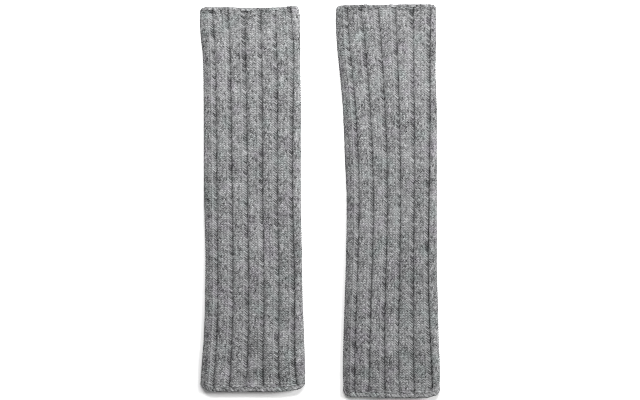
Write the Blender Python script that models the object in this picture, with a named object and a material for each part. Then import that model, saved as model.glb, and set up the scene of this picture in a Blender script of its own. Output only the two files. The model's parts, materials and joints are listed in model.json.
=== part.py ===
"""A pair of ribbed knitted leg warmers, laid flat side by side.

Each leg warmer is one knitted tube, open at both mouths and pressed flat, so that its front
lies on its back. The wall has a plain inside. Its outside carries broad lengthwise ribs with a
narrow crease between one rib and the next, and lies smooth where it rests on the surface.
A cast-on edge closes off the knitting at the upper mouth, and a bound-off chain at the lower one.

Metres, +Z up. The pair lies on z = 0, the tubes run along +Y, and the origin is midway between
the two, at the middle of the pair's length.
"""

import math
from bisect import bisect_right
from typing import NamedTuple

import bmesh
import bpy
import numpy as np

MM = 0.001

# The cloth.
CLOTH = 3.0 * MM             # wall at the top of a rib, and where it lies on the surface
RIB_DEPTH = 1.5 * MM         # how far a crease sinks below the top of a rib
FOLD_GAP = 0.9 * MM          # inside radius of the two side folds
FLAT_GAP = 0.5 * MM          # half the space between front and back, away from the folds
MOUTH_GAP = 0.5 * MM         # what that half grows by at an open mouth
FOLD_REACH = 9.0 * MM        # how far a fold holds the two layers apart
MOUTH_REACH = 25.0 * MM      # how far a mouth holds them apart
FOLD_RADIUS = CLOTH + FOLD_GAP
QUARTER_FOLD = FOLD_RADIUS * math.pi / 2

# The edges, and the hair's breadth that parts one piece from the next.
SEAM = 0.3 * MM
CAST_ON_HEIGHT = 4.0 * MM
BOUND_OFF_HEIGHT = 6.0 * MM
CURVE_REACH = 40.0 * MM      # how far the courses follow the curve of a mouth

# How finely the walls are divided.
TUBE_RINGS = 17
FOLD_COLUMNS = 6
BACK_COLUMNS = 10
FRONT_START = 0.4            # in ribs, counted from the crease that lies round the left fold
FRONT_END = 6.3

SHARP_EDGE = math.radians(50)
WOOL_GREY = (0.27, 0.27, 0.275, 1.0)
WOOL_ROUGHNESS = 0.95


class RibPoint(NamedTuple):
    """One point of the section through a rib."""

    across: float  # from its left crease (0) to the next one (1)
    sink: float    # below the top of the rib, as a share of RIB_DEPTH


RIB = (
    RibPoint(0.00, 1.00),
    RibPoint(0.08, 0.12),
    RibPoint(0.38, 0.00),
    RibPoint(0.73, 0.02),
    RibPoint(0.79, 0.32),
    RibPoint(0.93, 0.60),
)


class Section(NamedTuple):
    """Where one course of a flat tube lies, in millimetres from the middle of the pair."""

    up: float
    left: float
    creases: tuple[float, ...]
    right: float


class Rise(NamedTuple):
    """How far a mouth's edge lies above its section's height, in millimetres."""

    across: float  # from the left fold (0) to the right one (1)
    up: float


class EdgeRing(NamedTuple):
    """One ring of a finished edge, counted from the mouth to the seam."""

    inward: float  # share of the edge's height
    wall: float    # share of the wall
    ribs: float    # share of the rib depth


class LegWarmer(NamedTuple):
    """One of the pair: its sections from the lower mouth to the upper one, and its mouths."""

    side: str
    sections: tuple[Section, ...]
    lower_mouth: tuple[Rise, ...]
    upper_mouth: tuple[Rise, ...]


CAST_ON = (
    EdgeRing(0.0, 0.50, 0.25),
    EdgeRing(0.2, 0.88, 0.40),
    EdgeRing(0.6, 1.04, 0.50),
    EdgeRing(1.0, 0.96, 0.75),
)
BOUND_OFF = (
    EdgeRing(0.0, 0.50, 0.25),
    EdgeRing(0.15, 0.92, 0.40),
    EdgeRing(0.55, 1.06, 0.50),
    EdgeRing(1.0, 0.96, 0.75),
)

LEFT = LegWarmer(
    side="left",
    sections=(
        Section(-244.5, -152.0, (-136.5, -115.5, -93.5, -71.0, -49.5, -27.5), -19.0),
        Section(-216.0, -151.8, (-134.0, -114.0, -92.4, -72.0, -52.3, -31.0), -18.8),
        Section(-178.0, -149.0, (-131.6, -111.9, -91.2, -71.6, -52.5, -32.0), -19.8),
        Section(-127.0, -147.0, (-130.0, -110.5, -90.5, -70.7, -51.6, -31.7), -22.0),
        Section(-76.0, -146.2, (-130.0, -110.5, -90.9, -71.1, -52.0, -32.3), -22.8),
        Section(10.0, -148.6, (-131.0, -111.5, -92.0, -72.5, -53.8, -34.3), -24.4),
        Section(116.0, -148.8, (-132.0, -112.9, -92.8, -72.8, -53.6, -33.7), -24.2),
        Section(173.0, -149.2, (-132.8, -113.7, -94.0, -73.5, -53.9, -32.6), -25.0),
        Section(212.0, -152.6, (-134.6, -115.2, -94.9, -74.5, -55.2, -33.8), -25.0),
        Section(234.0, -153.8, (-136.3, -116.7, -95.0, -74.6, -55.8, -35.7), -25.3),
        Section(248.3, -152.0, (-137.2, -117.5, -95.0, -74.6, -56.1, -36.9), -28.0),
    ),
    lower_mouth=(
        Rise(0.0, 9.0), Rise(0.03, 4.5), Rise(0.07, 1.2), Rise(0.12, 0.0), Rise(0.74, 0.0),
        Rise(0.88, 1.8), Rise(0.94, 3.2), Rise(1.0, 9.5),
    ),
    upper_mouth=(
        Rise(0.0, -3.0), Rise(0.04, -0.2), Rise(0.30, 0.0), Rise(0.47, -1.3), Rise(0.75, -0.6),
        Rise(0.86, 0.6), Rise(0.95, 1.8), Rise(1.0, -2.5),
    ),
)
RIGHT = LegWarmer(
    side="right",
    sections=(
        Section(-252.2, 30.6, (45.8, 63.2, 84.0, 102.7, 121.7, 145.0), 153.6),
        Section(-216.0, 30.2, (45.3, 64.1, 84.0, 101.9, 121.0, 144.0), 153.9),
        Section(-178.0, 31.0, (46.0, 65.0, 83.7, 101.6, 120.5, 142.1), 152.4),
        Section(-127.0, 32.3, (47.7, 66.2, 84.4, 102.1, 120.5, 140.2), 151.2),
        Section(-76.0, 33.8, (49.5, 68.0, 85.8, 103.2, 120.8, 139.5), 150.1),
        Section(-5.0, 34.4, (50.9, 69.5, 87.3, 104.1, 121.4, 140.3), 150.1),
        Section(52.0, 32.4, (50.0, 68.5, 86.7, 103.8, 121.7, 141.2), 150.2),
        Section(116.0, 29.7, (46.6, 65.3, 84.2, 102.4, 121.6, 141.8), 149.9),
        Section(168.0, 25.6, (41.9, 61.7, 81.5, 100.7, 121.0, 141.7), 148.3),
        Section(211.0, 21.8, (37.9, 57.9, 78.7, 99.0, 120.5, 142.0), 149.0),
        Section(237.0, 20.9, (36.4, 54.7, 76.4, 98.0, 120.6, 142.7), 149.1),
        Section(251.5, 22.2, (36.0, 53.6, 75.6, 97.7, 120.7, 143.0), 148.5),
    ),
    lower_mouth=(
        Rise(0.0, 9.0), Rise(0.03, 3.8), Rise(0.09, 1.3), Rise(0.30, 1.0), Rise(0.42, 0.0),
        Rise(0.85, 0.2), Rise(0.93, 1.8), Rise(0.97, 3.8), Rise(1.0, 8.5),
    ),
    upper_mouth=(
        Rise(0.0, -4.5), Rise(0.03, -1.3), Rise(0.12, -0.3), Rise(0.30, 0.1), Rise(0.36, -0.7),
        Rise(0.45, 0.0), Rise(0.90, 0.6), Rise(0.96, -0.8), Rise(1.0, -4.0),
    ),
)
PAIR = (LEFT, RIGHT)


class Curve:
    """A smooth curve through a few points, which never swings out past them."""

    def __init__(self, xs, ys):
        self.xs, self.ys = list(xs), list(ys)
        rates = [
            (y1 - y0) / (x1 - x0)
            for x0, x1, y0, y1 in zip(self.xs, self.xs[1:], self.ys, self.ys[1:])
        ]
        inner = [2 * a * b / (a + b) if a * b > 0 else 0.0 for a, b in zip(rates, rates[1:])]
        self.slopes = [rates[0], *inner, rates[-1]]

    def at(self, x):
        """The curve's height at x, which is level past either end."""
        i = min(max(bisect_right(self.xs, x) - 1, 0), len(self.xs) - 2)
        step = self.xs[i + 1] - self.xs[i]
        t = min(max((x - self.xs[i]) / step, 0.0), 1.0)
        start = (1 - t) ** 2 * ((1 + 2 * t) * self.ys[i] + t * step * self.slopes[i])
        end = t * t * ((3 - 2 * t) * self.ys[i + 1] - (1 - t) * step * self.slopes[i + 1])
        return start + end


def fade(distance, reach):
    """1 at no distance, falling softly to 0 at the reach."""
    t = min(max(distance / reach, 0.0), 1.0)
    return 1 - t * t * (3 - 2 * t)


def rib_sink(ribs):
    """How deep the surface lies below the rib tops, so many ribs from the left fold's crease."""
    across = ribs - math.floor(ribs)
    return np.interp(across, [p.across for p in RIB] + [1.0], [p.sink for p in RIB] + [RIB[0].sink])


def front_columns():
    """The places of the columns over the front, in ribs."""
    places = [k + point.across for k in range(math.ceil(FRONT_END)) for point in RIB]
    return [ribs for ribs in places if FRONT_START <= ribs <= FRONT_END]


class Course:
    """The section through a leg warmer at one height, with its wall and ribs thinned as told."""

    def __init__(self, leg, up, wall=1.0, ribs=1.0):
        """Read the leg warmer's tables at this height."""
        ups = [section.up * MM for section in leg.sections]
        lines = zip(*((s.left, *s.creases, s.right) for s in leg.sections))
        self.left, *self.creases, self.right = (
            Curve(ups, [x * MM for x in line]).at(up) for line in lines
        )
        self.flat = self.right - self.left - 2 * FOLD_RADIUS
        self.up, self.wall, self.ribs = up, wall, ribs
        mouth = leg.upper_mouth if up > (ups[0] + ups[-1]) / 2 else leg.lower_mouth
        self.bend = Curve([rise.across for rise in mouth], [rise.up * MM for rise in mouth])
        self.from_mouth = min(up - ups[0], ups[-1] - up)
        self.flat_gap = FLAT_GAP + MOUTH_GAP * fade(self.from_mouth, MOUTH_REACH)

    def arc_of_ribs(self, ribs):
        """Distance round the cloth from the left fold's edge to a place given in ribs."""
        k = min(max(math.floor(ribs) - 1, 0), len(self.creases) - 2)
        pitch = self.creases[k + 1] - self.creases[k]
        x = self.creases[k] + (ribs - 1 - k) * pitch
        return x - self.left - FOLD_RADIUS + QUARTER_FOLD

    def columns(self):
        """Each column as (distance round the cloth, depth of the rib there), once round."""
        front = [(self.arc_of_ribs(ribs), RIB_DEPTH * rib_sink(ribs)) for ribs in front_columns()]
        first, last = front[0][0], front[-1][0]
        left_foot, right_foot = -QUARTER_FOLD, self.flat + 3 * QUARTER_FOLD
        steps = np.arange(FOLD_COLUMNS) / FOLD_COLUMNS
        left = [(left_foot + step * (first - left_foot), 0.0) for step in steps]
        right = [(right_foot - step * (right_foot - last), 0.0) for step in steps[::-1]]
        back_steps = np.arange(1, BACK_COLUMNS) / BACK_COLUMNS
        back = [(right_foot + step * self.flat, 0.0) for step in back_steps]
        return left + front + right + back

    def on_front(self, x, wall):
        """The wall's inner and outer point (x, z) on the front."""
        from_fold = self.flat / 2 - abs(x - (self.left + self.right) / 2)
        gap = self.flat_gap + (FOLD_GAP - self.flat_gap) * math.exp(-from_fold / FOLD_REACH)
        inner = CLOTH + 2 * gap
        return (x, inner), (x, inner + wall)

    def on_back(self, x, wall):
        """The wall's inner and outer point (x, z) on the back, which lies on the surface."""
        return (x, CLOTH), (x, CLOTH - min(wall, CLOTH))

    def on_fold(self, middle, side, angle, wall):
        """The wall's inner and outer point (x, z) on a fold, whose angle is 0 at its edge."""
        points = []
        for reach in (FOLD_GAP, FOLD_GAP + wall):
            z = FOLD_RADIUS + reach * math.sin(angle)
            points.append((middle + side * reach * math.cos(angle), max(z, 0.0)))
        return points

    def wall_at(self, arc, sink):
        """The wall's inner and outer point (x, z) at a distance round the cloth."""
        wall = CLOTH * self.wall - sink * self.ribs
        left_middle, right_middle = self.left + FOLD_RADIUS, self.right - FOLD_RADIUS
        right_edge = self.flat + 2 * QUARTER_FOLD
        if arc <= QUARTER_FOLD:
            return self.on_fold(left_middle, -1, arc / FOLD_RADIUS, wall)
        if arc < right_edge - QUARTER_FOLD:
            return self.on_front(left_middle + arc - QUARTER_FOLD, wall)
        if arc <= right_edge + QUARTER_FOLD:
            return self.on_fold(right_middle, 1, (right_edge - arc) / FOLD_RADIUS, wall)
        return self.on_back(right_middle - (arc - right_edge - QUARTER_FOLD), wall)

    def rise(self, x):
        """How far the course bends up or down at x, to follow the curve of the nearer mouth."""
        across = (x - self.left) / (self.right - self.left)
        return self.bend.at(across) * fade(self.from_mouth, CURVE_REACH)

    def ring(self):
        """The points once round the wall, outside and inside."""
        outside, inside = [], []
        for arc, sink in self.columns():
            inner, outer = self.wall_at(arc, sink)
            outside.append((outer[0], self.up + self.rise(outer[0]), outer[1]))
            inside.append((inner[0], self.up + self.rise(inner[0]), inner[1]))
        return outside, inside


def wool(name):
    """The plain grey finish of one piece."""
    material = bpy.data.materials.new(name)
    material.use_nodes = True
    shader = material.node_tree.nodes["Principled BSDF"]
    shader.inputs["Base Color"].default_value = WOOL_GREY
    shader.inputs["Roughness"].default_value = WOOL_ROUGHNESS
    shader.inputs["Metallic"].default_value = 0.0
    return material


def quads_between(bm, one, other):
    """A closed band of faces between two loops of as many vertices."""
    for i, vert in enumerate(one):
        j = (i + 1) % len(one)
        bm.faces.new((vert, one[j], other[j], other[i]))


def knitted_wall(name, courses, empty):
    """One closed piece of wall through its courses, from one end to the other."""
    bm = bmesh.new()
    rings = [[[bm.verts.new(p) for p in points] for points in c.ring()] for c in courses]
    outside, inside = zip(*rings)
    for layer in (outside, inside):
        for lower, upper in zip(layer, layer[1:]):
            quads_between(bm, lower, upper)
    for end in (0, -1):
        quads_between(bm, outside[end], inside[end])
    bmesh.ops.recalc_face_normals(bm, faces=bm.faces)
    bmesh.ops.translate(bm, verts=bm.verts, vec=-empty.location)
    mesh = bpy.data.meshes.new(name)
    bm.to_mesh(mesh)
    bm.free()
    mesh.materials.append(wool(f"{name}_wool"))
    mesh.shade_smooth()
    mesh.set_sharp_from_angle(angle=SHARP_EDGE)
    piece = bpy.data.objects.new(name, mesh)
    piece.parent = empty
    bpy.context.collection.objects.link(piece)
    return piece


def tube(leg, low, high, empty):
    """The ribbed tube between its two edges, with courses closer together near the mouths."""
    turns = np.linspace(0.0, math.pi, TUBE_RINGS)
    ups = [(low + high) / 2 - (high - low) / 2 * math.cos(turn) for turn in turns]
    return knitted_wall(f"{leg.side}_tube", [Course(leg, up) for up in ups], empty)


def edge(leg, kind, mouth, height, rings, empty):
    """A finished edge: a narrow band round a mouth, thick in the middle and rounded off."""
    courses = [Course(leg, mouth + ring.inward * height, ring.wall, ring.ribs) for ring in rings]
    return knitted_wall(f"{leg.side}_{kind}_edge", courses, empty)


def leg_warmer(leg):
    """One leg warmer, its three pieces held together by an empty at its middle."""
    low, high = leg.sections[0].up * MM, leg.sections[-1].up * MM
    middle = Course(leg, (low + high) / 2)
    empty = bpy.data.objects.new(f"{leg.side}_leg_warmer", None)
    empty.location = ((middle.left + middle.right) / 2, middle.up, 0.0)
    bpy.context.collection.objects.link(empty)
    edge(leg, "bound_off", low, BOUND_OFF_HEIGHT, BOUND_OFF, empty)
    tube(leg, low + BOUND_OFF_HEIGHT + SEAM, high - CAST_ON_HEIGHT - SEAM, empty)
    edge(leg, "cast_on", high, -CAST_ON_HEIGHT, CAST_ON, empty)


def main():
    """Clear the scene and build the pair."""
    for old in list(bpy.data.objects):
        bpy.data.objects.remove(old)
    for leg in PAIR:
        leg_warmer(leg)


main()
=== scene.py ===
"""The looks of a pair of ribbed knitted leg warmers, laid flat side by side on a pale floor.

Each leg warmer is one knitted tube. Its cloth is a grid of squares wrapped into a flat, closed
wall. The rows of the grid follow the slanted legs of the stitches, so that each leg is a plump
strand in the mesh itself. A cast-on edge finishes the upper mouth and a bound-off chain the lower
one. Sizes are in metres, and those in the tables of places in millimetres. +Z is up, and the tubes
run along +Y.
"""

import json
import logging
import math
from dataclasses import dataclass
from enum import Enum
from typing import Any, Mapping, Sequence, Union

import bmesh
import bpy
import numpy as np
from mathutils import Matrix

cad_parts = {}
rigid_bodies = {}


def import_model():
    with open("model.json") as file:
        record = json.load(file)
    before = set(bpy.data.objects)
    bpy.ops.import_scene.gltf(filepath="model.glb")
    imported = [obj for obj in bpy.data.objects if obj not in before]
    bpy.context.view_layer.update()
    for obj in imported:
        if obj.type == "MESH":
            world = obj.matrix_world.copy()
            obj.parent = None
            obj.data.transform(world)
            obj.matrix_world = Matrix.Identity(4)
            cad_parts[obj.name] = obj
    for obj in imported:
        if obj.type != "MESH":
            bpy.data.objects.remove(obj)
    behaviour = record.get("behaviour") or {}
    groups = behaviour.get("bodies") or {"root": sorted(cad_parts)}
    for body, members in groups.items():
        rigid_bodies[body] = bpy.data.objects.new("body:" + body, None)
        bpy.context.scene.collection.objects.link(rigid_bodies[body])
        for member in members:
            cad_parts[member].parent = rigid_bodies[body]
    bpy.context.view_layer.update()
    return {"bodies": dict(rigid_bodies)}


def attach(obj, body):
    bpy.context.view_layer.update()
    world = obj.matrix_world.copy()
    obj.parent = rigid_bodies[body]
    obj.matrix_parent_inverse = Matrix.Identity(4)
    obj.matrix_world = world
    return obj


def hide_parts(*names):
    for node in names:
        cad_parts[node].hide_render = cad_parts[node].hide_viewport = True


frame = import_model()

LOG = logging.getLogger("leg_warmers")
BODY = next(iter(frame["bodies"]))
MM = 0.001
SEED = 4
SEEDS_APART = 10
PATTERN_STEP = 3.7
KNIT_MAP = "knit"
WELD = 0.001 * MM
STRAND_ROUNDNESS = 0.97
FIELD_SPREAD = 0.5
Colour = tuple[float, float, float, float]


class Side(Enum):
    """Which of the pair a leg warmer is."""

    LEFT = "left"
    RIGHT = "right"


class EdgeKind(Enum):
    """How the knitting begins or ends at a mouth."""

    BOUND_OFF = "bound_off"
    CAST_ON = "cast_on"


class Blend(Enum):
    """How a second colour goes onto a first one."""

    OVER = "MIX"
    TINT = "MULTIPLY"


@dataclass(frozen=True)
class Section:
    """Where one course of a flat tube lies, in millimetres from the middle of the pair."""

    up: float
    left: float
    creases: tuple[float, ...]
    right: float


@dataclass(frozen=True)
class Rise:
    """How far a mouth lies above its section, in millimetres, at a share of the way across."""

    across: float
    up: float


@dataclass(frozen=True)
class RibColumn:
    """One column of the cloth's grid within a rib, counted from the crease on its left.

    across is its place from this crease (0) to the next (1), and wale the same in stitches. sink
    is its depth as a share of the crease's, climb how many courses a stitch's leg has risen
    there, and swell how plump the leg is, up to 1.
    """

    across: float
    wale: float
    sink: float
    climb: float
    swell: float


@dataclass(frozen=True)
class SoftFold:
    """A soft trough (depth above 0) or ridge (below 0) pressed into the lying cloth.

    Places and sizes are in millimetres, and turn is in degrees from the courses' direction.
    """

    x: float
    y: float
    length: float
    width: float
    turn: float
    depth: float


FRONT_RIB = (
    RibColumn(0.000, 0.00, 1.00, -0.1, 0.2),
    RibColumn(0.080, 0.50, 0.30, 0.6, 0.3),
    RibColumn(0.134, 0.75, 0.04, 0.3, 1.0),
    RibColumn(0.188, 1.00, 0.04, 0.0, 0.1),
    RibColumn(0.243, 1.25, 0.02, 0.3, 1.0),
    RibColumn(0.297, 1.50, 0.05, 0.6, 0.6),
    RibColumn(0.351, 1.75, 0.01, 0.3, 1.0),
    RibColumn(0.405, 2.00, 0.02, 0.0, 0.1),
    RibColumn(0.460, 2.25, 0.00, 0.3, 1.0),
    RibColumn(0.514, 2.50, 0.02, 0.6, 0.6),
    RibColumn(0.568, 2.75, 0.01, 0.3, 1.0),
    RibColumn(0.623, 3.00, 0.04, 0.0, 0.1),
    RibColumn(0.677, 3.25, 0.02, 0.3, 0.9),
    RibColumn(0.731, 3.50, 0.08, 0.6, 0.7),
    RibColumn(0.800, 3.65, 0.24, 0.2, 0.8),
    RibColumn(0.870, 3.80, 0.36, -0.2, 0.8),
    RibColumn(0.945, 3.92, 0.54, -0.6, 0.5),
)
BACK_RIB = (
    RibColumn(0.000, 0.00, 1.00, 0.0, 0.2),
    RibColumn(0.100, 0.50, 0.10, 0.6, 0.3),
    RibColumn(0.175, 0.75, 0.02, 0.3, 1.0),
    RibColumn(0.250, 1.00, 0.03, 0.0, 0.3),
    RibColumn(0.325, 1.25, 0.00, 0.3, 1.0),
    RibColumn(0.400, 1.50, 0.02, 0.6, 0.3),
    RibColumn(0.475, 1.75, 0.00, 0.3, 1.0),
    RibColumn(0.550, 2.00, 0.02, 0.0, 0.3),
    RibColumn(0.625, 2.25, 0.00, 0.3, 1.0),
    RibColumn(0.700, 2.50, 0.02, 0.6, 0.4),
    RibColumn(0.800, 3.00, 0.20, 0.0, 1.0),
    RibColumn(0.900, 3.50, 0.50, -0.5, 0.8),
)
FIRST_FRONT_RIB = -1
LAST_FRONT_RIB = 6
RIBS_ROUND = 13
STITCHES_IN_RIB = 4

LEFT_SECTIONS = (
    Section(-244.5, -152.0, (-136.5, -115.5, -93.5, -71.0, -49.5, -27.5), -19.0),
    Section(-216.0, -151.8, (-134.0, -114.0, -92.4, -72.0, -52.3, -31.0), -18.8),
    Section(-178.0, -149.0, (-131.6, -111.9, -91.2, -71.6, -52.5, -32.0), -19.8),
    Section(-127.0, -147.0, (-130.0, -110.5, -90.5, -70.7, -51.6, -31.7), -22.0),
    Section(-76.0, -146.2, (-130.0, -110.5, -90.9, -71.1, -52.0, -32.3), -22.8),
    Section(10.0, -148.6, (-131.0, -111.5, -92.0, -72.5, -53.8, -34.3), -24.4),
    Section(116.0, -148.8, (-132.0, -112.9, -92.8, -72.8, -53.6, -33.7), -24.2),
    Section(173.0, -149.2, (-132.8, -113.7, -94.0, -73.5, -53.9, -32.6), -25.0),
    Section(212.0, -152.6, (-134.6, -115.2, -94.9, -74.5, -55.2, -33.8), -25.0),
    Section(234.0, -153.8, (-136.3, -116.7, -95.0, -74.6, -55.8, -35.7), -25.3),
    Section(248.3, -152.0, (-137.2, -117.5, -95.0, -74.6, -56.1, -36.9), -28.0),
)
LEFT_LOWER_MOUTH = (
    Rise(0.0, 9.0), Rise(0.03, 4.5), Rise(0.07, 1.2), Rise(0.12, 0.0), Rise(0.74, 0.0),
    Rise(0.88, 1.8), Rise(0.94, 3.2), Rise(1.0, 9.5),
)
LEFT_UPPER_MOUTH = (
    Rise(0.0, -2.6), Rise(0.02, -0.8), Rise(0.05, 0.0), Rise(0.30, 0.2), Rise(0.47, -1.1),
    Rise(0.75, -0.4), Rise(0.86, 0.8), Rise(0.95, 2.0), Rise(0.985, 2.2), Rise(1.0, 0.6),
)
RIGHT_SECTIONS = (
    Section(-252.2, 30.6, (45.8, 63.2, 84.0, 102.7, 121.7, 145.0), 153.6),
    Section(-216.0, 30.2, (45.3, 64.1, 84.0, 101.9, 121.0, 144.0), 153.9),
    Section(-178.0, 31.0, (46.0, 65.0, 83.7, 101.6, 120.5, 142.1), 152.4),
    Section(-127.0, 32.3, (47.7, 66.2, 84.4, 102.1, 120.5, 140.2), 151.2),
    Section(-76.0, 33.8, (49.5, 68.0, 85.8, 103.2, 120.8, 139.5), 150.1),
    Section(-5.0, 34.4, (50.9, 69.5, 87.3, 104.1, 121.4, 140.3), 150.1),
    Section(52.0, 32.4, (50.0, 68.5, 86.7, 103.8, 121.7, 141.2), 150.2),
    Section(116.0, 29.7, (46.6, 65.3, 84.2, 102.4, 121.6, 141.8), 149.9),
    Section(168.0, 25.6, (41.9, 61.7, 81.5, 100.7, 121.0, 141.7), 148.3),
    Section(211.0, 21.8, (37.9, 57.9, 78.7, 99.0, 120.5, 142.0), 149.0),
    Section(237.0, 20.9, (36.4, 54.7, 76.4, 98.0, 120.6, 142.7), 149.1),
    Section(251.5, 22.2, (36.0, 53.6, 75.6, 97.7, 120.7, 143.0), 148.5),
)
RIGHT_LOWER_MOUTH = (
    Rise(0.0, 9.0), Rise(0.03, 3.8), Rise(0.09, 1.3), Rise(0.30, 1.0), Rise(0.42, 0.0),
    Rise(0.85, 0.2), Rise(0.93, 1.8), Rise(0.97, 3.8), Rise(1.0, 8.5),
)
RIGHT_UPPER_MOUTH = (
    Rise(0.0, -3.6), Rise(0.02, -1.4), Rise(0.12, -0.2), Rise(0.30, 0.2), Rise(0.36, -0.6),
    Rise(0.45, 0.1), Rise(0.90, 0.7), Rise(0.97, -0.2), Rise(1.0, -2.2),
)
LEFT_FOLDS = (
    SoftFold(-64.0, -184.0, 62.0, 27.0, -57.0, -3.7),
    SoftFold(-72.0, -178.0, 60.0, 56.0, -57.0, -1.8),
    SoftFold(-98.0, -190.0, 44.0, 24.0, -65.0, 1.4),
    SoftFold(-97.0, -214.0, 34.0, 13.0, 0.0, -1.8),
    SoftFold(-66.5, -211.0, 44.0, 18.0, -82.0, -2.3),
    SoftFold(-48.0, -185.0, 100.0, 44.0, -85.0, -1.4),
    SoftFold(-118.0, -160.0, 40.0, 22.0, 70.0, -0.6),
    SoftFold(-56.0, 120.0, 60.0, 24.0, 62.0, 0.6),
    SoftFold(-104.0, 40.0, 70.0, 26.0, -58.0, -0.6),
)
RIGHT_FOLDS = (
    SoftFold(82.0, -199.0, 60.0, 22.0, 5.0, -1.4),
    SoftFold(96.0, -214.0, 50.0, 14.0, 7.0, 0.7),
    SoftFold(60.0, 90.0, 62.0, 24.0, -64.0, -0.6),
    SoftFold(112.0, 30.0, 66.0, 24.0, 66.0, 0.6),
)


class Curve:
    """A smooth curve through a few points, which never swings out past them."""

    def __init__(self, xs: Sequence[float], ys: Sequence[float]) -> None:
        """Work out the slope at each point.

        Args:
            xs: The points' places, rising.
            ys: Their heights.
        """
        self.xs = np.array(xs, float)
        self.ys = np.array(ys, float)
        rates = np.diff(self.ys) / np.diff(self.xs)
        before, after = rates[:-1], rates[1:]
        same_way = before * after > 0
        total = np.where(same_way, before + after, 1.0)
        inner = np.where(same_way, 2 * before * after / total, 0.0)
        self.slopes = np.concatenate([rates[:1], inner, rates[-1:]])

    def at(self, x: np.ndarray) -> np.ndarray:
        """Read the curve, which is level past either end.

        Args:
            x: The places to read it at.

        Returns:
            The curve's heights there.
        """
        i = np.clip(np.searchsorted(self.xs, x, side="right") - 1, 0, len(self.xs) - 2)
        step = self.xs[i + 1] - self.xs[i]
        t = np.clip((x - self.xs[i]) / step, 0.0, 1.0)
        start = (1 - t) ** 2 * ((1 + 2 * t) * self.ys[i] + t * step * self.slopes[i])
        end = t * t * ((3 - 2 * t) * self.ys[i + 1] - (1 - t) * step * self.slopes[i + 1])
        return start + end


def fade(distance: np.ndarray, reach: float) -> np.ndarray:
    """1 at no distance, falling softly to 0 at the reach."""
    t = np.clip(distance / reach, 0.0, 1.0)
    return 1 - t * t * (3 - 2 * t)


def strand(place: np.ndarray) -> np.ndarray:
    """How high a round strand stands, from its valley (0 and 1) over its middle (0.5)."""
    across = 2 * (place - np.floor(place)) - 1
    return np.sqrt(1 - STRAND_ROUNDNESS * across * across)


def uneven(rng: np.random.Generator, rows: int, columns: int, step: int) -> np.ndarray:
    """A smooth random field that wraps round.

    Args:
        rng: Where the random numbers come from.
        rows: How many rows it has.
        columns: How many columns it has once round.
        step: How many rows and columns lie between one random value and the next.

    Returns:
        The field, mostly between -1 and 1, with its first column once more at its end.
    """
    coarse = rng.normal(0.0, FIELD_SPREAD, (rows // step + 2, columns // step + 1))
    coarse = np.hstack([coarse, coarse[:, :1]])
    across = np.arange(columns + 1) / columns * (coarse.shape[1] - 1)
    down = np.arange(rows) / step
    wide = np.array([np.interp(across, np.arange(coarse.shape[1]), row) for row in coarse])
    return np.array([np.interp(down, np.arange(len(coarse)), line) for line in wide.T]).T


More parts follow.
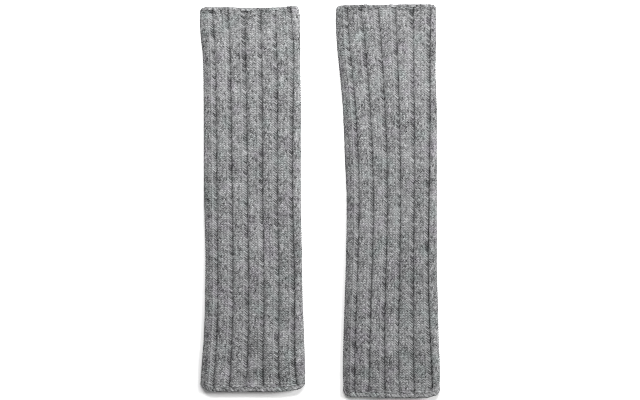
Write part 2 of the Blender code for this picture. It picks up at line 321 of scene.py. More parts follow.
@dataclass(frozen=True)
class FlatTube:
    """The form of one leg warmer as it lies: front on back, with a rounded fold at each side."""

    sections: tuple[Section, ...]
    lower_mouth: tuple[Rise, ...]
    upper_mouth: tuple[Rise, ...]
    folds: tuple[SoftFold, ...]
    cloth: float = 3.0 * MM
    fold_gap: float = 0.9 * MM
    flat_gap: float = 0.5 * MM
    mouth_gap: float = 0.5 * MM
    fold_reach: float = 9.0 * MM
    mouth_reach: float = 25.0 * MM
    curve_reach: float = 40.0 * MM
    fold_taper: float = 1.5
    left_spread: float = 0.3 * MM
    right_spread: float = 1.1 * MM
    left_press: float = 0.56
    right_press: float = 0.34
    side_reach: float = 12.0 * MM
    seam_sway: float = 0.45 * MM
    seam_inset: float = 5.0 * MM
    sway_reach: float = 6.0 * MM
    sway_lengths: tuple[float, float] = (6.9 * MM, 5.2 * MM)

    @property
    def low(self) -> float:
        """Height of the lower mouth."""
        return self.sections[0].up * MM

    @property
    def high(self) -> float:
        """Height of the upper mouth."""
        return self.sections[-1].up * MM

    @property
    def fold_radius(self) -> float:
        """From the middle of a side fold to the outside of the cloth."""
        return self.cloth + self.fold_gap

    @property
    def quarter_fold(self) -> float:
        """Length of the cloth's outside over a quarter of a turn of a side fold."""
        return self.fold_radius * math.pi / 2

    def lines(self, up: np.ndarray) -> tuple[np.ndarray, np.ndarray, np.ndarray]:
        """Where the outline and the creases run.

        Args:
            up: Heights along the tube.

        Returns:
            The left side, the six creases and the right side at those heights.
        """
        ups = [section.up * MM for section in self.sections]
        table = zip(*((s.left, *s.creases, s.right) for s in self.sections))
        left, *creases, right = (Curve(ups, [x * MM for x in xs]).at(up) for xs in table)
        return left - self.left_spread, np.array(creases), right + self.right_spread

    def round_length(self, up: float) -> float:
        """Length of the cloth once round the tube at one height."""
        left, _, right = self.lines(np.array([up]))
        return float(2 * (right - left - 2 * self.fold_radius)[0] + 4 * self.quarter_fold)

    def arc(self, ribs: np.ndarray, up: np.ndarray) -> np.ndarray:
        """Distance round the cloth from the left side's edge.

        Args:
            ribs: Places in ribs, counted from the crease before the first one on the front.
            up: Heights along the tube.

        Returns:
            The distances, over the front first and then under the back.
        """
        left, creases, right = self.lines(up)
        flat = right - left - 2 * self.fold_radius
        arcs = creases - left - self.fold_radius + self.quarter_fold
        foot, far_foot = -self.quarter_fold, flat + 3 * self.quarter_fold
        first = 1 - (arcs[0] - foot) / (arcs[1] - arcs[0])
        last = len(arcs) + (far_foot - arcs[-1]) / (arcs[-1] - arcs[-2])
        knots = [first, *range(1, len(arcs) + 1), last, first + RIBS_ROUND]
        marks = [foot, *arcs, far_foot, flat + far_foot]
        ribs = first + (ribs - first) % RIBS_ROUND
        arc = foot
        for knot, next_knot, mark, next_mark in zip(knots, knots[1:], marks, marks[1:]):
            arc = arc + (next_mark - mark) * np.clip((ribs - knot) / (next_knot - knot), 0, 1)
        return arc

    def back_share(self, arc: np.ndarray, up: np.ndarray) -> np.ndarray:
        """How far the cloth belongs to the back.

        Args:
            arc: Distances round the cloth from the left side's edge.
            up: Heights along the tube.

        Returns:
            1 where it lies on the floor, fading to 0 up the two side folds.
        """
        left, _, right = self.lines(up)
        flat = right - left - 2 * self.fold_radius
        past = np.minimum(arc + self.quarter_fold, flat + 3 * self.quarter_fold - arc)
        return fade(past, self.quarter_fold)

    def pressed(self, x: np.ndarray, y: np.ndarray) -> np.ndarray:
        """How deep the soft folds are pressed into the front.

        Args:
            x: Places across the tube.
            y: Places along it.

        Returns:
            The depths, below 0 on a ridge.
        """
        depth = np.zeros_like(x)
        for fold in self.folds:
            turn = math.radians(fold.turn)
            along = (x - fold.x * MM) * math.cos(turn) + (y - fold.y * MM) * math.sin(turn)
            aside = (y - fold.y * MM) * math.cos(turn) - (x - fold.x * MM) * math.sin(turn)
            shape = np.exp(-((2 * along / (fold.length * MM)) ** 2) * self.fold_taper)
            depth += fold.depth * MM * shape * np.exp(-((2 * aside / (fold.width * MM)) ** 2))
        return depth

    def bend(self, x: np.ndarray, up: np.ndarray) -> np.ndarray:
        """How far the cloth lies above its level courses, where a mouth is curved.

        Args:
            x: Places across the tube.
            up: Heights along the tube.

        Returns:
            The rises, which fade to 0 away from the mouths.
        """
        left, _, right = self.lines(up)
        from_mouth = np.minimum(up - self.low, self.high - up)
        curves = []
        for mouth in (self.lower_mouth, self.upper_mouth):
            curve = Curve([rise.across for rise in mouth], [rise.up * MM for rise in mouth])
            curves.append(curve.at((x - left) / (right - left)))
        nearer = np.where(up < (self.low + self.high) / 2, *curves)
        sway = sum(np.sin(2 * math.pi * x / length) for length in self.sway_lengths)
        seam = fade(abs(from_mouth - self.seam_inset), self.sway_reach)
        return nearer * fade(from_mouth, self.curve_reach) + self.seam_sway * sway * seam

    def place(self, arc: np.ndarray, up: np.ndarray, wall: np.ndarray) -> np.ndarray:
        """Points on the cloth.

        Args:
            arc: Distances round the cloth from the left side's edge.
            up: Heights along the tube.
            wall: Distances out from the cloth's inside.

        Returns:
            One point for each, in a last axis of three.
        """
        left, _, right = self.lines(up)
        quarter, radius = self.quarter_fold, self.fold_radius
        left_middle, right_middle = left + radius, right - radius
        right_edge = right_middle - left_middle + 2 * quarter
        from_mouth = np.minimum(up - self.low, self.high - up)
        flat_gap = self.flat_gap + self.mouth_gap * fade(from_mouth, self.mouth_reach)

        front_x = left_middle + arc - quarter
        from_fold = np.minimum(front_x - left_middle, right_middle - front_x)
        gap = flat_gap + (self.fold_gap - flat_gap) * np.exp(-from_fold / self.fold_reach)
        front_z = self.cloth + 2 * gap + wall - self.pressed(front_x, up)
        left_turn, right_turn = arc / radius, (right_edge - arc) / radius
        reach = self.fold_gap + wall
        where = [arc <= quarter, arc < right_edge - quarter, arc <= right_edge + quarter]
        x = np.select(
            where,
            [left_middle - reach * np.cos(left_turn), front_x,
             right_middle + reach * np.cos(right_turn)],
            right_middle - (arc - right_edge - quarter),
        )
        z = np.select(
            where,
            [radius + reach * np.sin(left_turn), front_z, radius + reach * np.sin(right_turn)],
            self.cloth - wall,
        )
        z = z * (1 - self.left_press * fade(x - left, self.side_reach))
        z = z * (1 - self.right_press * fade(right - x, self.side_reach))
        return np.stack([x, up + self.bend(x, up), np.maximum(z, 0.0)], axis=-1)


Number = Union[float, "Value"]
Sockets = Mapping[Union[int, str], Any]


class Value:
    """A number that varies over a surface: a shader socket, with arithmetic."""

    def __init__(self, graph: "ShaderGraph", socket: bpy.types.NodeSocket) -> None:
        """Keep the socket and the graph it is in."""
        self.graph = graph
        self.socket = socket

    def __add__(self, other: Number) -> "Value":
        """Sum."""
        return self.graph.math("ADD", self, other)

    def __sub__(self, other: Number) -> "Value":
        """Difference."""
        return self.graph.math("SUBTRACT", self, other)

    def __rsub__(self, other: Number) -> "Value":
        """Difference, with this value taken off a number."""
        return self.graph.math("SUBTRACT", other, self)

    def __mul__(self, other: Number) -> "Value":
        """Product."""
        return self.graph.math("MULTIPLY", self, other)

    def __truediv__(self, other: Number) -> "Value":
        """Quotient."""
        return self.graph.math("DIVIDE", self, other)

    def __abs__(self) -> "Value":
        """Size without its sign."""
        return self.graph.math("ABSOLUTE", self)

    __radd__ = __add__
    __rmul__ = __mul__

    def part(self) -> "Value":
        """What is left over a whole number."""
        return self.graph.math("FRACT", self)

    def whole(self) -> "Value":
        """The whole number below."""
        return self.graph.math("FLOOR", self)

    def off_middle(self) -> "Value":
        """0 midway between two whole numbers, rising to 1 at either."""
        return abs(self.part() - 0.5) * 2.0

    def held(self) -> "Value":
        """Kept between 0 and 1."""
        return self.graph.math("MINIMUM", self.graph.math("MAXIMUM", self, 0.0), 1.0)


class ShaderGraph:
    """A new material and the nodes in it."""

    def __init__(self, name: str) -> None:
        """Start a material with a Principled shader.

        Args:
            name: The material's name.
        """
        self.material = bpy.data.materials.new(name)
        self.material.use_nodes = True
        self.tree = self.material.node_tree
        self.shader = self.tree.nodes["Principled BSDF"]

    def fill(self, node: bpy.types.Node, sockets: Sockets) -> None:
        """Set or link a node's input sockets.

        Args:
            node: The node.
            sockets: Values or links, by the number or name of a socket in use.
        """
        for key, given in sockets.items():
            if isinstance(key, int):
                socket = node.inputs[key]
            else:
                socket = next(s for s in node.inputs if s.name == key and s.enabled)
            if isinstance(given, Value):
                self.tree.links.new(given.socket, socket)
            else:
                socket.default_value = given

    def node(self, kind: str, settings: Mapping[str, Any], sockets: Sockets, output: str) -> Value:
        """Add a node.

        Args:
            kind: The node's type, without the leading ShaderNode.
            settings: Its own settings, which are made first.
            sockets: Values or links for its input sockets.
            output: The name of the output that is wanted.

        Returns:
            That output.
        """
        node = self.tree.nodes.new(f"ShaderNode{kind}")
        for key, setting in settings.items():
            setattr(node, key, setting)
        self.fill(node, sockets)
        return Value(self, next(o for o in node.outputs if o.name == output and o.enabled))

    def math(self, operation: str, *operands: Number) -> Value:
        """A Math node on up to three numbers."""
        return self.node("Math", {"operation": operation}, dict(enumerate(operands)), "Value")

    def vector(self, x: Number, y: Number, z: Number) -> Value:
        """Three numbers as one vector."""
        return self.node("CombineXYZ", {}, {"X": x, "Y": y, "Z": z}, "Vector")

    def noise(self, vector: Value, scale: float, detail: float) -> Value:
        """Soft noise between 0 and 1, which seldom leaves the middle."""
        sockets = {"Vector": vector, "Scale": scale, "Detail": detail}
        return self.node("TexNoise", {}, sockets, "Fac")

    def dice(self, vector: Value) -> Value:
        """A random number between 0 and 1 for each different vector."""
        return self.node("TexWhiteNoise", {}, {"Vector": vector}, "Value")

    def blend(self, how: Blend, share: Value, first: Any, second: Any) -> Value:
        """A second colour put onto a first one by a share."""
        settings = {"data_type": "RGBA", "blend_type": how.value}
        return self.node("Mix", settings, {"Factor": share, "A": first, "B": second}, "Result")


@dataclass(frozen=True, kw_only=True)
class HeatherWool:
    """Heather grey wool yarn, as the strands of a knitted piece show it.

    The piece's UV map counts strands: across them in v, along them in u. Tones run from dark (0)
    to light (1), and a contrast is the span of tone that one pattern covers.
    """

    name: str
    dark: Colour = (0.015, 0.015, 0.016, 1.0)
    light: Colour = (0.402, 0.405, 0.410, 1.0)
    green: Colour = (0.945, 1.0, 0.985, 1.0)
    mauve: Colour = (1.0, 0.962, 1.01, 1.0)
    roughness: float = 0.95
    sheen: float = 0.12
    sheen_roughness: float = 0.5
    specular: float = 0.1
    middle_tone: float = 0.50
    leg_contrast: float = 0.34
    half_leg_contrast: float = 0.37
    streak_contrast: float = 0.75
    fleck_contrast: float = 0.28
    patch_contrast: float = 0.50
    streaks_along: float = 2.5
    streaks_across: float = 2.0
    streak_scale: float = 1.6
    fleck: float = 1.3 * MM
    fleck_sharpness: float = 4.0
    patch: float = 24.0 * MM
    # painted shade in the valleys between strands and in the pits at their tips
    valley_painted_shade: float = 0.20
    valley_painted_shade_spots: float = 0.30
    tip_painted_shade_spots: float = 0.45
    hues_in_patch: float = 1.1
    hue_sharpness: float = 6.0
    green_from: float = 0.54
    mauve_from: float = 0.44
    twist: float = 3.0
    ply_height: float = 0.5
    fibres_in_fleck: float = 3.5
    bump_strength: float = 0.5
    bump_depth: float = 0.25 * MM

    def shaded(self, tone: Value, u: Value, v: Value, pit: Value) -> Value:
        """The yarn's tone, with painted shade and highlight where the piece's own form calls for
        it.
        """
        return tone

    def tone(self, spot: Value, u: Value, v: Value, seed: float) -> Value:
        """The yarn's tone over the piece.

        Args:
            spot: The place in space, moved by the seed.
            u: Strands along.
            v: Strands across.
            seed: Moves the random patterns.

        Returns:
            The tone, kept between 0 and 1.
        """
        graph = spot.graph
        half_along, half_across = (u * 2.0).whole(), (v * 2.0).whole()
        leg = graph.dice(graph.vector(half_along, v.whole(), seed))
        half_leg = graph.dice(graph.vector(half_along, half_across, seed + 1.0))
        pit = graph.dice(graph.vector((u + 0.5).whole(), (v + 0.5).whole(), seed + 2.0))
        along_strands = graph.vector(u * self.streaks_along, v * self.streaks_across, seed)
        streaks = graph.noise(along_strands, self.streak_scale, detail=2.0)
        flecks = graph.noise(spot, 1 / self.fleck, detail=1.0)
        flecks = ((flecks - 0.5) * self.fleck_sharpness + 0.5).held()
        patches = graph.noise(spot, 1 / self.patch, detail=1.0)

        tone = self.middle_tone + (leg - 0.5) * self.leg_contrast
        tone = tone + (half_leg - 0.5) * self.half_leg_contrast
        tone = tone + (streaks - 0.5) * self.streak_contrast
        tone = tone + (flecks - 0.5) * self.fleck_contrast
        tone = tone + (patches - 0.5) * self.patch_contrast
        # painted shade: darker across the valleys between strands, and at random in the pits at
        # strand tips
        across, tip = v.off_middle(), u.off_middle()
        tone = tone * (1 - across * across * (self.valley_painted_shade + pit * self.valley_painted_shade_spots))
        tone = tone * (1 - tip * tip * tip * pit * self.tip_painted_shade_spots)
        return self.shaded(tone, u, v, pit).held()

    def colour(self, tone: Value, spot: Value) -> Value:
        """The yarn's colour, with a faint green or mauve tint in patches.

        Args:
            tone: The yarn's tone.
            spot: The place in space, moved by the seed.

        Returns:
            The colour.
        """
        graph = spot.graph
        colour = graph.blend(Blend.OVER, tone, self.dark, self.light)
        hue = graph.noise(spot, self.hues_in_patch / self.patch, detail=1.0)
        green_share = ((hue - self.green_from) * self.hue_sharpness).held()
        mauve_share = ((self.mauve_from - hue) * self.hue_sharpness).held()
        colour = graph.blend(Blend.TINT, green_share, colour, self.green)
        return graph.blend(Blend.TINT, mauve_share, colour, self.mauve)

    def relief(self, spot: Value, u: Value, v: Value) -> Value:
        """The yarn's fine relief: its twisted plies and its fibres.

        Args:
            spot: The place in space, moved by the seed.
            u: Strands along.
            v: Strands across.

        Returns:
            The bumped normal.
        """
        graph = spot.graph
        ply = ((u * 2.0 + v) * self.twist).off_middle()
        fibres = graph.noise(spot, self.fibres_in_fleck / self.fleck, detail=4.0)
        height = ply * self.ply_height + fibres
        bump = {"Strength": self.bump_strength, "Distance": self.bump_depth, "Height": height}
        return graph.node("Bump", {}, bump, "Normal")

    def material(self, seed: float) -> bpy.types.Material:
        """Make the material for one piece.

        Args:
            seed: Moves the random patterns, so that no two pieces are alike.

        Returns:
            The material.
        """
        graph = ShaderGraph(self.name)
        uv = graph.node("UVMap", {"uv_map": KNIT_MAP}, {}, "UV")
        u = graph.node("SeparateXYZ", {}, {"Vector": uv}, "X")
        v = graph.node("SeparateXYZ", {}, {"Vector": uv}, "Y")
        place = graph.node("TexCoord", {}, {}, "Object")
        spot = graph.node("VectorMath", {"operation": "ADD"}, {0: place, 1: (seed,) * 3}, "Vector")
        graph.fill(graph.shader, {
            "Base Color": self.colour(self.tone(spot, u, v, seed), spot),
            "Roughness": self.roughness,
            "Sheen Weight": self.sheen,
            "Sheen Roughness": self.sheen_roughness,
            "Specular IOR Level": self.specular,
            "Normal": self.relief(spot, u, v),
        })
        return graph.material


@dataclass(frozen=True, kw_only=True)
class RibbedWool(HeatherWool):
    """The wool of the ribs: painted shade in creases and pits below the rim, painted highlight on
    ridges.

    Places are shares of the way from one crease to the next, sharpness is how fast a shade grows
    in one rib, and spots differ from pit to pit. The last crease on the front gets more painted
    shade.
    """

    courses: int
    side_crease_painted_shade: float
    side_crease_reach: float = 0.5
    crease_place: float = 0.03
    crease_painted_shade: float = 0.22
    crease_painted_shade_spots: float = 0.72
    ridge_place: float = 0.825
    ridge_stray: float = 0.05
    ridge_painted_highlight: float = 0.605
    ridge_painted_highlight_share: float = 0.55
    band_place: float = 0.865
    band_painted_shade: float = 0.12
    gap_painted_shade: float = 0.45
    gap_least: float = 0.2
    gap_painted_shade_spots: float = 1.6
    sharpness: float = 15.0
    rim_courses: float = 3.5
    rim_painted_shade: float = 0.45
    rim_least: float = -0.6
    rim_painted_shade_spots: float = 2.0

    def shaded(self, tone: Value, u: Value, v: Value, pit: Value) -> Value:
        """Paint shade into creases, the bands beside them and the last courses, and a highlight on
        ridges.

        Args:
            tone: The yarn's tone.
            u: Stitches round.
            v: Courses up.
            pit: A random number for each gap between stitches.

        Returns:
            The new tone.
        """
        rib = u / STITCHES_IN_RIB
        # painted shade along each crease, spotted from pit to pit, more at the last crease on the
        # front
        from_crease = abs((rib + (0.5 - self.crease_place)).part() - 0.5)
        crease = (1 - from_crease * self.sharpness).held()
        last = (1 - abs(rib - LAST_FRONT_RIB) / self.side_crease_reach).held()
        shade = last * self.side_crease_painted_shade + self.crease_painted_shade + pit * self.crease_painted_shade_spots
        tone = tone * (1 - crease * shade).held()

        # painted shade over the band beside each crease, deeper in the gaps between courses
        band = ((rib.part() - self.band_place) * self.sharpness).held()
        gap = v.off_middle()
        depth = gap * gap * (pit * self.gap_painted_shade_spots + self.gap_least)
        tone = tone * (1 - band * (self.band_painted_shade + depth * self.gap_painted_shade))

        # painted highlight along each ridge, drawing the tone there towards one light value
        stray = u.graph.dice(u.graph.vector(rib.whole(), 0.0, 0.0)) * self.ridge_stray
        ridge = (1 - abs(rib.part() - stray - self.ridge_place) * self.sharpness).held()
        tone = tone + (self.ridge_painted_highlight - tone) * (ridge * self.ridge_painted_highlight_share)

        # painted shade in random pits over the last courses below the rim
        rim = ((v - (self.courses - self.rim_courses)) / self.rim_courses).held()
        return tone * (1 - rim * (pit * self.rim_painted_shade_spots + self.rim_least).held() * self.rim_painted_shade)


@dataclass(frozen=True, kw_only=True)
class EdgeWool(HeatherWool):
    """The wool of an edge: painted shade in some pits at its foot, and along its rim.

    The foot's painted shade ends, and the rim lies, so many strand widths from the seam.
    """

    foot: float
    rim: float
    foot_painted_shade: float
    rim_painted_shade: float

    def shaded(self, tone: Value, u: Value, v: Value, pit: Value) -> Value:
        """Paint shade into some pits at the foot and along the rim.

        Args:
            tone: The yarn's tone.
            u: Strand widths from the seam, over the rim.
            v: Strands round; not used here.
            pit: A random number for each gap between strands.

        Returns:
            The new tone.
        """
        # painted shade in random pits at the foot, and along the rim
        low = (1 - u / self.foot).held()
        along_rim = (1 - abs(u - self.rim) / self.foot).held()
        return tone * (1 - low * pit * self.foot_painted_shade) * (1 - along_rim * self.rim_painted_shade)


@dataclass
class WrappedGrid:
    """A grid of squares that is wrapped both ways into one closed wall."""

    columns: int
    rows: int
    reach: float = 0.5

    def piece(
        self, name: str, points: np.ndarray, uvs: np.ndarray, material: bpy.types.Material
    ) -> bpy.types.Object:
        """Build the closed piece.

        Args:
            name: The piece's name.
            points: A point for each row and column, the last of which lie on the first.
            uvs: A pair for each row and column.
            material: The finish.

        Returns:
            The piece's object, with its place in its mesh.
        """
        bm = bmesh.new()
        bmesh.ops.create_grid(bm, x_segments=self.columns, y_segments=self.rows, size=self.reach)
        mesh = bpy.data.meshes.new(name)
        bm.to_mesh(mesh)
        flat = np.empty(3 * len(mesh.vertices), np.float32)
        mesh.vertices.foreach_get("co", flat)
        column = np.rint((flat[0::3] + self.reach) * self.columns).astype(int)
        row = np.rint((flat[1::3] + self.reach) * self.rows).astype(int)
        mesh.vertices.foreach_set("co", points[row, column].astype(np.float32).ravel())
        corners = np.empty(len(mesh.loops), int)
        mesh.loops.foreach_get("vertex_index", corners)
        knit = uvs[row[corners], column[corners]].astype(np.float32)
        mesh.uv_layers.new(name=KNIT_MAP).uv.foreach_set("vector", knit.ravel())
        bm.clear()
        bm.from_mesh(mesh)
        bmesh.ops.remove_doubles(bm, verts=bm.verts, dist=WELD)
        bmesh.ops.recalc_face_normals(bm, faces=bm.faces)
        bm.to_mesh(mesh)
        bm.free()
        mesh.shade_smooth()
        mesh.materials.append(material)
        piece = bpy.data.objects.new(name, mesh)
        bpy.context.scene.collection.objects.link(piece)
        return piece


@dataclass
class KnittedTube:
    """The ribbed tube between the two edges, knitted in stocking stitch with sunk creases.

    The steps are in rows and columns of the grid, and the wobble and settle in courses.
    """

    side: Side
    form: FlatTube
    low: float
    high: float
    courses: int
    # painted shade added to the last crease on the front
    side_crease_painted_shade: float
    crease_depth: float = 2.0 * MM
    stitch_depth: float = 1.0 * MM
    rows_in_course: int = 3
    inside_rows: int = 24
    settle: float = 2.5
    back_relief: float = 0.45
    wobble: float = 0.16
    wobble_step: int = 9
    tension: float = 0.25
    tension_step: int = 3
    least_swell: float = 0.4
    least_filled: float = 0.3
    seam_courses: float = 0.5
    crease_unevenness: float = 0.7
    shallowest_crease: float = 0.5
    deepest_crease: float = 1.25

    @property
    def pitch(self) -> float:
        """Height of one course."""
        return (self.high - self.low) / self.courses

    def grid_columns(self) -> tuple[np.ndarray, ...]:
        """The grid's columns once round.

        Returns:
            Their places in ribs, in stitches, and their sink, climb and swell.
        """
        rows = []
        for rib in range(FIRST_FRONT_RIB, FIRST_FRONT_RIB + RIBS_ROUND):
            stitches = STITCHES_IN_RIB * rib
            for c in FRONT_RIB if rib <= LAST_FRONT_RIB else BACK_RIB:
                rows.append((rib + c.across, stitches + c.wale, c.sink, c.climb, c.swell))
        start = rows[0]
        stitches_round = STITCHES_IN_RIB * RIBS_ROUND
        rows.append((start[0] + RIBS_ROUND, start[1] + stitches_round, *start[2:]))
        return tuple(np.array(rows).T)

    def outside(self, rng: np.random.Generator) -> tuple[np.ndarray, np.ndarray]:
        """The cloth's outside, from the lower seam to the upper one.

        Args:
            rng: Where the small unevenness comes from.

        Returns:
            A point, and a height in courses, for each row and column.
        """
        ribs, _, sink, climb, swell = self.grid_columns()
        rows, columns = self.courses * self.rows_in_course + 1, len(ribs) - 1
        legs = np.repeat(np.arange(rows)[:, None] / self.rows_in_course, len(ribs), axis=1)
        from_end = np.minimum(legs, self.courses - legs)
        loose = 1 - fade(from_end, self.settle)
        wobble = uneven(rng, rows, columns, self.wobble_step) * self.wobble
        course = legs + climb * loose + wobble * loose
        up = self.low + np.clip(course, 0, self.courses) * self.pitch
        arc = self.form.arc(np.broadcast_to(ribs, up.shape), up)
        relief = 1 - (1 - self.back_relief) * self.form.back_share(arc, up)

        tension = 1 + uneven(rng, rows, columns, self.tension_step) * self.tension
        seam = rng.uniform(self.least_filled, 1.0, len(ribs))
        filled = np.where(from_end < self.seam_courses, seam, 0.0)
        filled[:, -1] = filled[:, 0]
        swell = self.least_swell + (1 - self.least_swell) * swell
        plump = np.maximum(strand(legs) * swell * tension, filled)
        drawn = 1 + uneven(rng, rows, columns, self.rows_in_course) * self.crease_unevenness
        drawn = np.clip(drawn, self.shallowest_crease, self.deepest_crease)
        depth = self.crease_depth * sink * relief * drawn
        wall = self.form.cloth - depth - self.stitch_depth * relief * np.maximum(1 - plump, 0)
        return self.form.place(arc, up, np.minimum(wall, self.form.cloth)), legs

    def build(self, seed: int) -> bpy.types.Object:
        """Build the tube's cloth and dress it.

        Args:
            seed: Makes the small unevenness of this tube its own.

        Returns:
            The piece.
        """
        ribs, wales, *_ = self.grid_columns()
        outer, outer_legs = self.outside(np.random.default_rng(seed))
        heights = np.linspace(self.high, self.low, self.inside_rows)
        up = np.repeat(heights[:, None], len(ribs), axis=1)
        arc = self.form.arc(np.broadcast_to(ribs, up.shape), up)
        inner = self.form.place(arc, up, np.zeros_like(up))
        points = np.concatenate([outer, inner, outer[:1]])
        legs = np.concatenate([outer_legs, (up - self.low) / self.pitch, outer_legs[:1]])
        uvs = np.stack([np.broadcast_to(wales, legs.shape), legs], axis=-1)
        finish = RibbedWool(
            name=f"{self.side.value}_ribbed_wool",
            courses=self.courses,
            side_crease_painted_shade=self.side_crease_painted_shade,
        )
        material = finish.material(seed * PATTERN_STEP)
        grid = WrappedGrid(len(ribs) - 1, len(points) - 1)
        piece = grid.piece(f"{self.side.value}_tube_knit", points, uvs, material)
        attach(piece, BODY)
        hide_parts(f"{self.side.value}_tube")
        return piece


@dataclass
class KnittedEdge:
    """A finished edge round one mouth: a rounded band whose strands wrap over its rim.

    lean is how far a strand slants round the mouth for each step along the band's section, and
    stretch how many strands share a boldness. The band is plain inside, where its normal's outward
    share is under inside_below.
    """

    side: Side
    form: FlatTube
    kind: EdgeKind
    mouth: float
    height: float
    strand_pitch: float
    strand_depth: float
    lean: float
    unevenness: float
    # painted shade along the rim and in pits at the foot
    rim_painted_shade: float
    foot_painted_shade: float
    tightest: float
    slimmest: float = 0.5
    plumpest: float = 1.4
    calmest: float = 0.25
    boldest: float = 1.1
    stretch: int = 4
    columns_in_strand: int = 8
    outside_rows: int = 11
    rim_rows: int = 13
    inside_rows: int = 4
    foot_reach: float = 0.8 * MM
    inside_start: float = 1.0 * MM
    inside_reach: float = 4.0 * MM
    back_relief: float = 0.5
    crease_depth: float = 1.0 * MM
    crease_reach: float = 0.09
    inside_below: float = -0.5

    def section(self) -> tuple[np.ndarray, ...]:
        """The section through the band, from the seam over its outside and rim to its inside.

        Returns:
            Distance along it, distance in from the mouth, distance out from the cloth's
            inside, the share of the normal that points away from the mouth, and the share
            that points out.
        """
        radius = self.form.cloth / 2
        straight = self.height - radius
        turn = np.linspace(0, math.pi, self.rim_rows)
        outer = np.linspace(0, straight, self.outside_rows + 1)[:-1]
        inner = np.linspace(0, straight, self.inside_rows + 1)[1:]
        outer_zeros, inner_zeros = np.zeros(len(outer)), np.zeros(len(inner))
        return (
            np.concatenate([outer, straight + radius * turn, straight + radius * math.pi + inner]),
            np.concatenate([self.height - outer, radius - radius * np.sin(turn), radius + inner]),
            np.concatenate([outer_zeros + 2 * radius, radius + radius * np.cos(turn), inner_zeros]),
            np.concatenate([outer_zeros, np.sin(turn), inner_zeros]),
            np.concatenate([outer_zeros + 1, np.cos(turn), inner_zeros - 1]),
        )

    def dips(
        self, rng: np.random.Generator, strands: int, turns: np.ndarray, along: np.ndarray
    ) -> np.ndarray:
        """How deep the band dips between its strands.

        Args:
            rng: Where the small unevenness comes from.
            strands: How many strands there are once round.
            turns: Places round the edge, counted in strands.
            along: Distances along the band's section.

        Returns:
            The depth at each place.
        """
        strand_number = np.floor(turns).astype(int) % strands
        gap_number = np.floor(turns + 0.5).astype(int) % strands
        size = (1 + self.unevenness * rng.normal(0, 1, strands))[strand_number]
        tight = rng.uniform(0.0, self.tightest, strands)[gap_number]
        ends = np.sqrt(np.clip(along / self.foot_reach + 1 - tight, 0, 1))
        ends = ends * fade(along - (self.height + self.inside_start), self.inside_reach)
        plump = strand(turns) * ends * np.clip(size, self.slimmest, self.plumpest)
        stretches = rng.uniform(self.calmest, self.boldest, strands // self.stretch + 1)
        knots = np.linspace(0, strands, len(stretches))
        boldness = np.interp(turns, knots, np.append(stretches[:-1], stretches[0]))
        return self.strand_depth * boldness * (1 - plump)

    def build(self, seed: int) -> bpy.types.Object:
        """Build the edge and dress it.

        Args:
            seed: Makes its small unevenness its own.

        Returns:
            The piece.
        """
        strands = round(self.form.round_length(self.mouth) / self.strand_pitch)
        columns = strands * self.columns_in_strand
        turns = np.arange(columns + 1)[None, :] / self.columns_in_strand
        parts = (part[:, None] for part in self.section())
        turns, along, inward, wall, away, out = np.broadcast_arrays(turns, *parts)
        toward = 1.0 if self.mouth < 0 else -1.0
        slant = self.lean * (along - self.height / 2) / self.strand_pitch
        ribs = (turns + slant) * RIBS_ROUND / strands + FIRST_FRONT_RIB
        up = self.mouth + toward * inward
        arc = self.form.arc(ribs, up)
        relief = 1 - (1 - self.back_relief) * self.form.back_share(arc, up)
        dip = self.dips(np.random.default_rng(seed), strands, turns, along) * relief
        dip = np.where(out > self.inside_below, dip, 0.0)
        from_crease = (ribs % 1 + 0.5) % 1 - 0.5
        crease = self.crease_depth * np.exp(-((from_crease / self.crease_reach) ** 2))
        crease = crease * (inward / self.height)
        wall = wall - dip * out - crease * relief * np.maximum(out, 0)
        wall = np.clip(wall, 0, self.form.cloth)
        points = self.form.place(arc, up + toward * dip * away, wall)
        points = np.concatenate([points, points[:1]])
        lengths = np.concatenate([along, along[-1:] + self.form.cloth]) / self.strand_pitch
        uvs = np.stack([lengths, np.concatenate([turns, turns[:1]])], axis=-1)
        grid = WrappedGrid(columns, len(points) - 1)
        name = f"{self.side.value}_{self.kind.value}_edge"
        finish = EdgeWool(
            name=f"{name}_wool",
            foot=self.height / self.strand_pitch / 2,
            rim=self.height / self.strand_pitch,
            foot_painted_shade=self.foot_painted_shade,
            rim_painted_shade=self.rim_painted_shade,
        )
        piece = grid.piece(f"{name}_knit", points, uvs, finish.material(seed * PATTERN_STEP))
        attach(piece, BODY)
        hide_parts(name)
        return piece


@dataclass
class LegWarmer:
    """One of the pair: its tube and the edges round its two mouths."""

    side: Side
    form: FlatTube
    courses: int
    # painted shade added to the last crease on the front
    side_crease_painted_shade: float
    cast_on_height: float = 4.0 * MM
    bound_off_height: float = 6.0 * MM
    seam: float = 0.1 * MM

    def build(self, seed: int) -> list[bpy.types.Object]:
        """Args:
            seed: Makes this one's small unevenness its own.

        Returns:
            The pieces, the tube first.
        """
        form = self.form
        low = form.low + self.bound_off_height + self.seam
        high = form.high - self.cast_on_height - self.seam
        knit = KnittedTube(self.side, form, low, high, self.courses, self.side_crease_painted_shade)
        tube = knit.build(seed)
        bound_off = KnittedEdge(
            self.side, form, EdgeKind.BOUND_OFF, form.low, self.bound_off_height,
            strand_pitch=4.6 * MM, strand_depth=0.75 * MM, lean=0.7, unevenness=0.34,
            rim_painted_shade=0.34, foot_painted_shade=0.25, tightest=0.8,
        ).build(seed + 1)
        cast_on = KnittedEdge(
            self.side, form, EdgeKind.CAST_ON, form.high, self.cast_on_height,
            strand_pitch=5.0 * MM, strand_depth=0.7 * MM, lean=-0.3, unevenness=0.36,
            rim_painted_shade=0.0, foot_painted_shade=0.05, tightest=0.7,
        ).build(seed + 2)
        around = form.round_length((form.low + form.high) / 2)
        high - low
        return [tube, bound_off, cast_on]


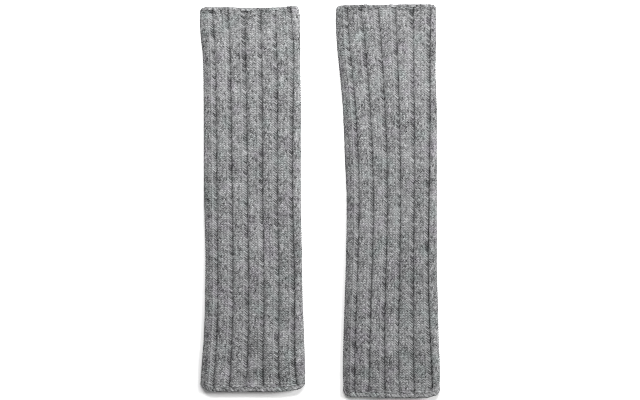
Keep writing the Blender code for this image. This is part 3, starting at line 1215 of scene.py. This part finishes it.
@dataclass
class Studio:
    """A pale floor, soft light from the upper right, and a camera that looks straight down."""

    lens: float = 100.0
    sensor: float = 36.0
    frame_width: float = 819.2 * MM
    view_x: float = 1.0 * MM
    view_y: float = 1.3 * MM
    view_z: float = 6.0 * MM
    floor_size: float = 12.0
    floor_drop: float = 0.1 * MM
    floor_shade: Colour = (0.92, 0.92, 0.92, 1.0)
    floor_glow: float = 0.03
    top_from: tuple[float, float, float] = (0.0, 0.72, 0.80)
    top_power: float = 15.6
    top_size: tuple[float, float] = (1.0, 0.3)
    side_from: tuple[float, float, float] = (0.85, 0.25, 0.45)
    side_strength: float = 3.6
    side_spread: float = 0.4
    fill_colour: Colour = (1.0, 1.0, 1.0, 1.0)
    fill_strength: float = 0.26
    filter_width: float = 0.9

    def floor(self) -> None:
        """Lay the floor."""
        bm = bmesh.new()
        bmesh.ops.create_grid(bm, x_segments=1, y_segments=1, size=self.floor_size)
        bmesh.ops.translate(bm, verts=bm.verts, vec=(0, 0, -self.floor_drop))
        mesh = bpy.data.meshes.new("floor")
        bm.to_mesh(mesh)
        bm.free()
        graph = ShaderGraph("pale_floor")
        graph.fill(graph.shader, {
            "Base Color": self.floor_shade,
            "Roughness": 1.0,
            "Specular IOR Level": 0.0,
            "Emission Color": self.floor_shade,
            "Emission Strength": self.floor_glow,
        })
        mesh.materials.append(graph.material)
        floor = bpy.data.objects.new("floor", mesh)
        bpy.context.scene.collection.objects.link(floor)

    def lights(self) -> None:
        """Hang the top and side lights and set the even light all round."""
        top = bpy.data.lights.new("top", "AREA")
        top.shape = "RECTANGLE"
        top.size, top.size_y = self.top_size
        top.energy = self.top_power
        side = bpy.data.lights.new("side", "SUN")
        side.energy = self.side_strength
        side.angle = self.side_spread
        for lamp, place in ((top, self.top_from), (side, self.side_from)):
            light = bpy.data.objects.new(lamp.name, lamp)
            light.location = place
            light.rotation_euler = (-light.location).to_track_quat("-Z", "Y").to_euler()
            bpy.context.scene.collection.objects.link(light)
        world = bpy.data.worlds.new("soft_white")
        world.use_nodes = True
        background = world.node_tree.nodes["Background"]
        background.inputs["Color"].default_value = self.fill_colour
        background.inputs["Strength"].default_value = self.fill_strength
        bpy.context.scene.world = world

    def camera(self) -> None:
        """Hang the camera straight above the pair."""
        lens = bpy.data.cameras.new("camera")
        lens.lens = self.lens
        lens.sensor_width = self.sensor
        camera = bpy.data.objects.new("camera", lens)
        away = self.frame_width * self.lens / self.sensor
        camera.location = (self.view_x, self.view_y, self.view_z + away)
        bpy.context.scene.collection.objects.link(camera)
        bpy.context.scene.camera = camera

    def build(self) -> None:
        """Set up the floor, the light and the camera, with plain tones and crisp detail."""
        self.floor()
        self.lights()
        self.camera()
        bpy.context.scene.view_settings.view_transform = "Standard"
        bpy.context.scene.cycles.filter_width = self.filter_width
        bpy.context.scene.cycles.denoising_prefilter = "NONE"


def main() -> None:
    """Build the pair and the studio around it."""
    logging.basicConfig(level=logging.INFO, format="%(message)s")
    Studio().build()
    left = FlatTube(LEFT_SECTIONS, LEFT_LOWER_MOUTH, LEFT_UPPER_MOUTH, LEFT_FOLDS)
    right = FlatTube(RIGHT_SECTIONS, RIGHT_LOWER_MOUTH, RIGHT_UPPER_MOUTH, RIGHT_FOLDS)
    pair = (
        LegWarmer(Side.LEFT, left, courses=161, side_crease_painted_shade=0.10),
        LegWarmer(Side.RIGHT, right, courses=157, side_crease_painted_shade=0.42),
    )
    for number, leg_warmer in enumerate(pair):
        for piece in leg_warmer.build(SEED + SEEDS_APART * number):
            LOG.info("%s: %d faces", piece.name, len(piece.data.polygons))


if __name__ == "__main__":
    main()
